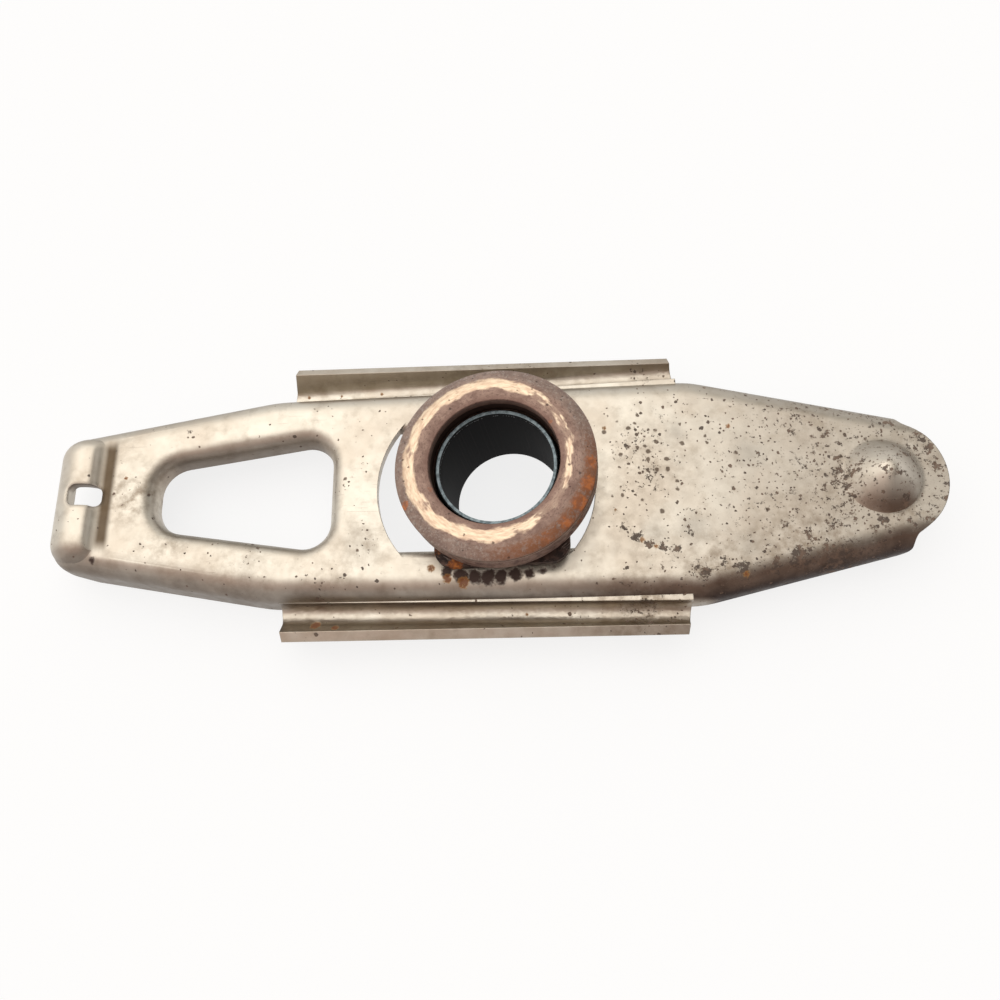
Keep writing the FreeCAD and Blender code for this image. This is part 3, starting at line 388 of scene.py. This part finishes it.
def oxidised_race():
    """Hardened bearing steel browned by heat and damp, with the spring fingers' bright worn track."""
    material, tree, shader, place = new_material("worn_oxidised_bearing_steel")
    upright, radius, height, heading = round_axis(tree, place)

    cloud = add(tree, "MapRange", add(tree, "TexNoise", place, grain(5.0), 6.0, 0.66), 0.34, 0.66, **SOFT)
    brown = add(tree, "Mix", cloud, paint("#7c6257"), paint("#9c8274"), **COLOUR)
    fleck = turning_marks(tree, heading, radius, height, 24.0, 0.5, 1.0, 5.0)
    brown = add(tree, "Mix", add(tree, "MapRange", fleck, 0.5, 0.68, 0.0, 0.7, **SOFT), brown, paint("#5b443e"),
                **COLOUR)
    rim = add(tree, "MapRange", radius, 30.5 * MM, 33.5 * MM, **SOFT)
    scuffs = add(tree, "MapRange",
                 add(tree, "TexNoise", shifted(tree, disturbed(tree, place, 1.6, 0.6, 2.0), 3.0), grain(1.1),
                     6.0, 0.75), 0.5, 0.62, **SOFT)
    brown = add(tree, "Mix", add(tree, "Math", rim, 0.35, operation="MULTIPLY"), brown, paint("#80756d"),
                **COLOUR)
    brown = add(tree, "Mix",
                add(tree, "Math", add(tree, "Math", rim, scuffs, operation="MULTIPLY"), 0.6,
                    operation="MULTIPLY"), brown, paint("#aaa098"), **COLOUR)
    inner = add(tree, "MapRange", radius, 26.2 * MM, 24.6 * MM, **SOFT)
    brown = add(tree, "Mix", add(tree, "Math", inner, 0.45, operation="MULTIPLY"), brown, paint("#74564c"),
                **COLOUR)

    # the worn track lies a little off the bearing's own centre and has ragged edges
    off_centre = add(tree, "VectorMath", upright, (1.7 * MM, -0.9 * MM, 0.0), operation="ADD")
    flat = add(tree, "VectorMath", off_centre, (1.0, 1.0, 0.0), operation="MULTIPLY")
    track_r = add(tree, "VectorMath", flat, operation="LENGTH").outputs["Value"]
    ragged = turning_marks(tree, heading, radius, height, 4.0, 3.0, 4.0, 6.0)
    track_r = add(tree, "Math", add(tree, "Math", ragged, 0.5, operation="SUBTRACT"), 4.5 * MM, track_r,
                  operation="MULTIPLY_ADD")
    off_track = add(tree, "Math", add(tree, "Math", track_r, 29.3 * MM, operation="SUBTRACT"),
                    operation="ABSOLUTE")
    far_side = add(tree, "MapRange", heading.outputs["X"], -0.1, 0.9, **SOFT)
    half_width = add(tree, "MapRange", far_side, 0.0, 1.0, 2.2 * MM, 1.3 * MM, **SOFT)
    worn = add(tree, "MapRange", add(tree, "Math", off_track, half_width, operation="SUBTRACT"), 0.45 * MM,
               -0.45 * MM, **SOFT)
    streaks = turning_marks(tree, heading, radius, height, 9.0, 0.8, 5.0, 4.0)
    patchy = turning_marks(tree, heading, radius, height, 2.6, 6.0, 6.0, 3.0)
    keep = add(tree, "Math", far_side, -0.16, patchy, operation="MULTIPLY_ADD")
    keep = add(tree, "Math", add(tree, "Math", streaks, 0.5, operation="SUBTRACT"), 0.3, keep,
               operation="MULTIPLY_ADD")
    worn = add(tree, "Math", worn, add(tree, "MapRange", keep, 0.3, 0.42, 0.15, 0.94, **SOFT),
               operation="MULTIPLY")
    bare = add(tree, "Mix", add(tree, "MapRange", streaks, 0.3, 0.7, **SOFT), paint("#bfa38c"),
               paint("#dfccb1"), **COLOUR)
    coloured = add(tree, "Mix", worn, brown, bare, **COLOUR)
    upper = add(tree, "Math", height, 15.0 * MM, operation="GREATER_THAN")

    rust = spread(tree, disturbed(tree, upright, 2.2, 0.9, 7.0), FACE_RUST)
    rust = add(tree, "Math", add(tree, "TexNoise", shifted(tree, place, 8.0), grain(1.2), 6.0, 0.72), 0.9, rust,
               operation="MULTIPLY_ADD")
    rust = add(tree, "Math", add(tree, "MapRange", rust, 0.82, 1.2, **SOFT),
               add(tree, "MapRange", radius, 31.5 * MM, 34 * MM, 0.6, 1.0, **SOFT), operation="MULTIPLY")
    rust_colour = add(tree, "Mix",
                      add(tree, "MapRange",
                          add(tree, "TexNoise", shifted(tree, place, 9.0), grain(2.0), 4.0, 0.6), 0.4, 0.6,
                          **SOFT), paint("#8a4f2a"), paint("#b8692f"), **COLOUR)
    corner = add(tree, "Math", heading.outputs["X"], 0.75,
                 add(tree, "Math", heading.outputs["Y"], -0.66, operation="MULTIPLY"), operation="MULTIPLY_ADD")
    bloom = add(tree, "Math", add(tree, "MapRange", corner, 0.35, 0.95, **SOFT),
                add(tree, "MapRange", radius, 30.8 * MM, 34.2 * MM, **SOFT), operation="MULTIPLY")
    bloom = add(tree, "Math", bloom, add(tree, "MapRange", fleck, 0.36, 0.56, 0.25, 0.85, **SOFT),
                operation="MULTIPLY")
    coloured = add(tree, "Mix", bloom, coloured, paint("#8d5836"), **COLOUR)
    coloured = add(tree, "Mix", add(tree, "Math", rust, 0.7, operation="MULTIPLY"), coloured, rust_colour,
                   **COLOUR)
    # painted shade: a dark band low on the face ring's side, for the shadowed gap above the housing
    joint_shade = add(tree, "MapRange", height, 19.5 * MM, 19.2 * MM, 0.0, 0.85, **SOFT)
    coloured = add(tree, "Mix", add(tree, "Math", joint_shade, upper, operation="MULTIPLY"), coloured,
                   paint("#2b1e1a"), **COLOUR)
    pits = specks(tree, disturbed(tree, place, 1.0, 0.25, 12.0), 1.7, 0.12, 0.1, 10.0)
    coloured = add(tree, "Mix", add(tree, "Math", pits, 0.7, operation="MULTIPLY"), coloured, paint("#3a2a26"),
                   **COLOUR)

    scratch = turning_marks(tree, heading, radius, height, 3.0, 0.16, 11.0, 2.0)
    roughness = add(tree, "Mix", worn, 0.52, 0.33)
    roughness = add(tree, "Math", rust, 0.3, roughness, operation="MULTIPLY_ADD")
    metal = add(tree, "Math", add(tree, "Math", worn, upper, operation="MULTIPLY"), 0.45, 0.5,
                operation="MULTIPLY_ADD")
    metal = add(tree, "Math", metal, add(tree, "Math", rust, 0.5, operation="MULTIPLY"), operation="SUBTRACT",
                use_clamp=True)
    skin = add(tree, "Math", scratch, 0.012 * MM, operation="MULTIPLY")
    skin = add(tree, "Math", cloud, 0.02 * MM, skin, operation="MULTIPLY_ADD")
    skin = add(tree, "Math", worn, -0.02 * MM, skin, operation="MULTIPLY_ADD")
    skin = add(tree, "Math", rust, 0.03 * MM, skin, operation="MULTIPLY_ADD")
    finish_shader(tree, shader, skin, Base_Color=coloured, Roughness=roughness, Metallic=metal)
    return material


def rusty_steel(name, dark, light, rust_spots, rust_level):
    """Bare mild steel pressing gone brown: mottled oxide with turned or drawn streaks and orange bloom."""
    material, tree, shader, place = new_material(name)
    upright, radius, height, heading = round_axis(tree, place)
    cloud = add(tree, "MapRange", add(tree, "TexNoise", place, grain(3.2), 7.0, 0.7), 0.34, 0.66, **SOFT)
    oxide = add(tree, "Mix", cloud, paint(dark), paint(light), **COLOUR)
    streak = turning_marks(tree, heading, radius, height, 12.0, 0.5, 1.0, 5.0)
    oxide = add(tree, "Mix", add(tree, "MapRange", streak, 0.55, 0.7, 0.0, 0.5, **SOFT), oxide,
                paint("#a3958c"), **COLOUR)
    rust = spread(tree, disturbed(tree, upright, 2.4, 1.0, 2.0), rust_spots)
    rust = add(tree, "Math", add(tree, "TexNoise", shifted(tree, place, 3.0), grain(1.4), 6.0, 0.7), 0.9, rust,
               operation="MULTIPLY_ADD")
    rust = add(tree, "MapRange", rust, rust_level, rust_level + 0.35, **SOFT)
    rust_colour = add(tree, "Mix",
                      add(tree, "MapRange",
                          add(tree, "TexNoise", shifted(tree, place, 4.0), grain(1.8), 4.0, 0.6), 0.4, 0.62,
                          **SOFT), paint("#7a4524"), paint("#b56b2a"), **COLOUR)
    coloured = add(tree, "Mix", rust, oxide, rust_colour, **COLOUR)
    # painted highlight: paler above 17 mm along the axis, on the housing's upper edge under the face ring
    paler = add(tree, "MapRange", height, 16.9 * MM, 17.5 * MM, 0.0, 0.6, **SOFT)
    coloured = add(tree, "Mix", paler, coloured, paint("#b39b8d"), **COLOUR)
    skin = add(tree, "Math", add(tree, "TexNoise", shifted(tree, place, 5.0), grain(0.8), 5.0, 0.65), 0.05 * MM,
               operation="MULTIPLY")
    skin = add(tree, "Math", rust, 0.04 * MM, skin, operation="MULTIPLY_ADD")
    roughness = add(tree, "MapRange", cloud, 0.0, 1.0, 0.62, 0.44, **SOFT)
    roughness = add(tree, "Math", rust, 0.25, roughness, operation="MULTIPLY_ADD")
    metal = add(tree, "Math", 0.6, add(tree, "Math", rust, 0.5, operation="MULTIPLY"), operation="SUBTRACT")
    finish_shader(tree, shader, skin, Base_Color=coloured, Roughness=roughness, Metallic=metal)
    return material


def blackened_tube():
    """Drawn steel tube, black oxide under old grease: bare blue-grey at the rim, dark streaks down the bore."""
    material, tree, shader, place = new_material("black_oxide_tube_steel")
    _, radius, height, heading = round_axis(tree, place)
    down = add(tree, "CombineXYZ", add(tree, "Math", heading.outputs["X"], 26.0, operation="MULTIPLY"),
               add(tree, "Math", heading.outputs["Y"], 26.0, operation="MULTIPLY"),
               add(tree, "Math", height, 14.0, operation="MULTIPLY"))
    streaks = add(tree, "TexNoise", down, 1.0, 5.0, 0.6)
    black = add(tree, "Mix", add(tree, "MapRange", streaks, 0.5, 0.72, **SOFT), paint("#060506"),
                paint("#1c1918"), **COLOUR)
    rim = add(tree, "MapRange", height, SLEEVE_TOP - 0.55 * MM, SLEEVE_TOP - 0.4 * MM, **SOFT)
    bare = add(tree, "Mix",
               add(tree, "MapRange", add(tree, "TexNoise", place, grain(1.4), 4.0, 0.6), 0.35, 0.65, **SOFT),
               paint("#535c60"), paint("#7a8589"), **COLOUR)
    coloured = add(tree, "Mix", rim, black, bare, **COLOUR)
    # painted highlight: a thin pale line round the inside of the bore, 2.2 mm below the rim, where a step would
    # catch the light
    step = add(tree, "Math", add(tree, "Math", height, SLEEVE_TOP - 2.2 * MM, operation="SUBTRACT"),
               operation="ABSOLUTE")
    line = add(tree, "Math", add(tree, "MapRange", step, 0.2 * MM, 0.1 * MM, **SOFT),
               add(tree, "MapRange", streaks, 0.48, 0.56, **SOFT), operation="MULTIPLY")
    inside = add(tree, "Math", radius, BORE_R + 0.3 * MM, operation="LESS_THAN")
    line = add(tree, "Math", line, inside, operation="MULTIPLY")
    coloured = add(tree, "Mix", line, coloured, paint("#a4adb1"), **COLOUR)
    roughness = add(tree, "Mix", rim, 0.7, 0.36)
    metal = add(tree, "Math", rim, 0.8, operation="MULTIPLY")
    skin = add(tree, "Math", streaks, 0.03 * MM, operation="MULTIPLY")
    shader.inputs["Specular IOR Level"].default_value = 0.12
    finish_shader(tree, shader, skin, Base_Color=coloured, Roughness=roughness, Metallic=metal)
    return material


def ground_steel(name, light, dark, roughness, marks_mm):
    """Ground and hardened steel: bright, with fine marks round the axis and an oil film's darker clouds."""
    material, tree, shader, place = new_material(name)
    _, radius, height, heading = round_axis(tree, place)
    marks = turning_marks(tree, heading, radius, height, 4.0, marks_mm, 1.0)
    cloud = add(tree, "MapRange", add(tree, "TexNoise", shifted(tree, place, 2.0), grain(6.0), 4.0, 0.6), 0.35,
                0.68, **SOFT)
    coloured = add(tree, "Mix", cloud, paint(light), paint(dark), **COLOUR)
    gloss = add(tree, "MapRange", marks, 0.3, 0.7, roughness - 0.05, roughness + 0.08, **SOFT)
    skin = add(tree, "Math", marks, 0.006 * MM, operation="MULTIPLY")
    finish_shader(tree, shader, skin, Base_Color=coloured, Roughness=gloss, Metallic=1.0)
    return material


def moulded(name, light, dark, roughness, ior):
    """A moulded polymer or rubber ring: a fine eroded mould texture and cloudy light and dark tones."""
    material, tree, shader, place = new_material(name)
    cloud = add(tree, "MapRange", add(tree, "TexNoise", place, grain(4.0), 5.0, 0.6), 0.35, 0.7, **SOFT)
    coloured = add(tree, "Mix", cloud, paint(dark), paint(light), **COLOUR)
    skin = add(tree, "TexNoise", shifted(tree, place, 2.0), grain(0.35), 3.0, 0.6)
    gloss = add(tree, "MapRange", skin, 0.3, 0.7, roughness - 0.06, roughness + 0.08, **SOFT)
    finish_shader(tree, shader, add(tree, "Math", skin, 0.015 * MM, operation="MULTIPLY"), Base_Color=coloured,
                  Roughness=gloss, Metallic=0.0, IOR=ior)
    return material


CUP_RUST = [(30, -22, 9, 0.5), (36, -8, 8, 0.45), (10, -36, 10, 0.25), (-15, -34, 8, 0.3)]
EAR_RUST = [(-17, -33, 6, 0.75), (-24, -28, 5, 0.5), (18, 33, 6, 0.4)]

FINISHES = {
    "fork": plated_pressing(),
    "contact_race": oxidised_race(),
    "bearing_housing": rusty_steel("browned_pressed_steel", "#5d463f", "#8d7166", CUP_RUST, 0.8),
    "carrier_plate": rusty_steel("blackened_pressed_steel", "#241a17", "#4f3b33", EAR_RUST, 0.78),
    "guide_sleeve": blackened_tube(),
    "sleeve_snap_ring": ground_steel("oiled_snap_ring_steel", "#7d746b", "#4d453f", 0.42, 0.3),
    "rivets": ground_steel("dull_rivet_steel", "#8c8278", "#5a4c43", 0.5, 0.5),
    "spring_washer": ground_steel("blued_spring_steel", "#5c5f66", "#34353a", 0.36, 0.3),
    "fixed_race": ground_steel("ground_race_steel", "#c4c0b8", "#8f887e", 0.26, 0.18),
    "bearing_balls": ground_steel("polished_ball_steel", "#d9d7d3", "#bdb9b2", 0.12, 0.8),
    "ball_cage": moulded("glass_filled_nylon", "#a89272", "#7d6a50", 0.5, 1.53),
    "dust_seal": moulded("nitrile_rubber", "#2a2827", "#171615", 0.6, 1.52),
}


# ---------------------------------------------------------------- pieces
def put(name, mesh, body, node, material):
    """Places a finished mesh on its body, in the stead of a node of the frame."""
    piece = bpy.data.objects.new(name, mesh)
    bpy.context.scene.collection.objects.link(piece)
    mesh.materials.clear()
    mesh.materials.append(material)
    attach(piece, body)
    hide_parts(node)
    return piece


def skinned(node, crease_degrees=28.0):
    """A node's own shape as one joined skin, with smooth surfaces that meet at crisp creases."""
    shape = bmesh.new()
    shape.from_mesh(frame["nodes"][node].data)
    bmesh.ops.remove_doubles(shape, verts=shape.verts, dist=0.002 * MM)
    bmesh.ops.dissolve_degenerate(shape, edges=shape.edges, dist=0.001 * MM)
    for face in shape.faces:
        face.smooth = True
    for edge in shape.edges:
        edge.smooth = edge.is_manifold and edge.calc_face_angle(0.0) < math.radians(crease_degrees)
    mesh = bpy.data.meshes.new(node + "_skin")
    shape.to_mesh(mesh)
    shape.free()
    body = [b for b, nodes in frame["record"]["behaviour"]["bodies"].items() if node in nodes][0]
    piece = put(node + "_skin", mesh, body, node, FINISHES[node])
    evened = piece.modifiers.new("evened", "WEIGHTED_NORMAL")
    evened.keep_sharp = True
    evened.weight = 80
    return piece


def ball_ring(node="bearing_balls"):
    """The ball set: equal balls spaced round the leaning axis, by Geometry Nodes."""
    low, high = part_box(node)
    ball_r, count = 3.175 * MM, 20
    middle = (low + high) / 2
    ring_r = (high.y - low.y) / 2 - ball_r
    tree = bpy.data.node_groups.new("ball_ring", "GeometryNodeTree")
    for name, kind, default in (("Balls", "NodeSocketInt", 1), ("Ring radius", "NodeSocketFloat", 0.0),
                                ("Ball radius", "NodeSocketFloat", 0.0), ("Lean", "NodeSocketFloat", 0.0),
                                ("Middle", "NodeSocketVector", (0.0, 0.0, 0.0))):
        socket = tree.interface.new_socket(name, in_out="INPUT", socket_type=kind)
        socket.default_value = default
    tree.interface.new_socket("Geometry", in_out="OUTPUT", socket_type="NodeSocketGeometry")
    given = add(tree, "NodeGroupInput").outputs
    ring = add(tree, "GeometryNodeMeshCircle", {"Vertices": given["Balls"], "Radius": given["Ring radius"]})
    ball = add(tree, "GeometryNodeMeshIcoSphere", {"Radius": given["Ball radius"], "Subdivisions": 4})
    smooth = add(tree, "GeometryNodeSetShadeSmooth", {"Geometry": ball})
    balls = add(tree, "GeometryNodeInstanceOnPoints", {"Points": ring, "Instance": smooth})
    lean = add(tree, "CombineXYZ", {"Y": given["Lean"]})
    seated = add(tree, "GeometryNodeTransform",
                 {"Geometry": balls, "Translation": given["Middle"], "Rotation": lean})
    real = add(tree, "GeometryNodeRealizeInstances", {"Geometry": seated})
    coated = add(tree, "GeometryNodeSetMaterial", {"Geometry": real, "Material": FINISHES[node]})
    add(tree, "NodeGroupOutput", {"Geometry": coated})
    maker = bpy.data.objects.new("ball_maker", bpy.data.meshes.new("ball_maker"))
    bpy.context.scene.collection.objects.link(maker)
    modifier = maker.modifiers.new("balls", "NODES")
    modifier.node_group = tree
    wanted = {"Balls": count, "Ring radius": ring_r, "Ball radius": ball_r, "Lean": -LEAN, "Middle": middle}
    for item in tree.interface.items_tree:
        if item.in_out == "INPUT":
            modifier[item.identifier] = wanted[item.name]
    graph = bpy.context.evaluated_depsgraph_get()
    mesh = bpy.data.meshes.new_from_object(maker.evaluated_get(graph))
    bpy.data.objects.remove(maker)
    mesh.name = "steel_balls"
    return put("steel_balls", mesh, "ball_set", node, FINISHES[node])


for node in sorted(frame["nodes"]):
    if node == "bearing_balls":
        ball_ring()
    else:
        skinned(node)


# ---------------------------------------------------------------- studio
def seen_rays(tree):
    """1 for rays that show the studio, straight or by reflection, 0 for rays that only light the part."""
    rays = add(tree, "LightPath").outputs
    straight = add(tree, "Math", rays["Is Camera Ray"], rays["Is Glossy Ray"], operation="MAXIMUM")
    return add(tree, "Math", straight, rays["Is Transmission Ray"], operation="MAXIMUM")


def studio_floor():
    """A plain pale floor under the part."""
    material, tree, shader, _ = new_material("matt_white_board")
    finish_shader(tree, shader, Base_Color=paint("#f6f6f6"), Roughness=0.95, Metallic=0.0)
    shader.inputs["Specular IOR Level"].default_value = 0.1
    white = add(tree, "Emission", (1.0, 1.0, 1.0, 1.0), 1.0)
    shown = add(tree, "Math", seen_rays(tree), 0.8, operation="MULTIPLY")
    both = add(tree, "MixShader", shown, shader, white)
    tree.links.new(both.outputs[0], tree.nodes["Material Output"].inputs["Surface"])
    mesh = bpy.data.meshes.new("floor")
    half = 6.0
    corners = [(-half, -half, FLOOR_Z), (half, -half, FLOOR_Z), (half, half, FLOOR_Z), (-half, half, FLOOR_Z)]
    mesh.from_pydata(corners, [], [(0, 1, 2, 3)])
    mesh.materials.append(material)
    floor = bpy.data.objects.new("floor", mesh)
    bpy.context.scene.collection.objects.link(floor)


def studio_light():
    """A wide overhead soft light, warm below and dim and brown towards the near side."""
    world = bpy.data.worlds.new("soft_studio")
    bpy.context.scene.world = world
    world.use_nodes = True
    tree = world.node_tree
    tree.nodes.clear()
    way = add(tree, "TexCoord").outputs["Generated"]
    axes = add(tree, "SeparateXYZ", way)
    far_side = add(tree, "MapRange", axes.outputs["Y"], -0.6, 0.7, **SOFT)
    sky = add(tree, "Mix", far_side, (0.25, 0.19, 0.16, 1.0), (0.58, 0.565, 0.5, 1.0), **COLOUR)
    left_side = add(tree, "MapRange", axes.outputs["X"], -0.3, 0.8, 1.15, 0.42, **SOFT)
    sky = add(tree, "VectorMath", sky, left_side, operation="SCALE")
    for direction, colour, edge, core in (
            ((-0.28, 0.32, 0.91), (1.92, 1.86, 1.78, 1.0), 60.0, 18.0),
            ((-0.45, -0.42, 0.80), (1.02, 0.86, 0.80, 1.0), 50.0, 12.0)):
        toward = add(tree, "VectorMath", way, Vector(direction).normalized(), operation="DOT_PRODUCT")
        inside = add(tree, "MapRange", toward.outputs["Value"], math.cos(math.radians(edge)),
                     math.cos(math.radians(core)), **SOFT)
        lamp = add(tree, "Mix", 1.0, sky, colour, blend_type="LIGHTEN", **COLOUR)
        sky = add(tree, "Mix", inside, sky, lamp, **COLOUR)
    low = add(tree, "MapRange", axes.outputs["Z"], 0.3, 0.46, 0.9, 0.0, **SOFT)
    backdrop = add(tree, "Math", seen_rays(tree), low, operation="MULTIPLY")
    sky = add(tree, "Mix", backdrop, sky, (1.0, 1.0, 1.0, 1.0), **COLOUR)
    background = add(tree, "Background", sky, 1.0)
    add(tree, "OutputWorld", background)


def studio_camera():
    """The camera above the near side, looking down the fork's face."""
    right = Vector((0.99862026, -0.00857375, -0.05180798))
    up = Vector((0.02554171, 0.94132014, 0.33654719))
    back = Vector((0.04588243, -0.3374061, 0.94024035))
    lens = bpy.data.cameras.new("camera")
    lens.sensor_width = 36.0
    lens.lens = 33.9826
    lens.shift_x = 0.014923
    lens.shift_y = 0.011944
    lens.clip_start = 0.01
    lens.clip_end = 50.0
    camera = bpy.data.objects.new("camera", lens)
    bpy.context.scene.collection.objects.link(camera)
    camera.matrix_world = Matrix.Translation(Vector((9.458, -131.221, 333.617)) * MM) @ Matrix(
        (right, up, back)).transposed().to_4x4()
    bpy.context.scene.camera = camera


studio_floor()
studio_light()
studio_camera()
bpy.context.scene.view_settings.view_transform = "Standard"
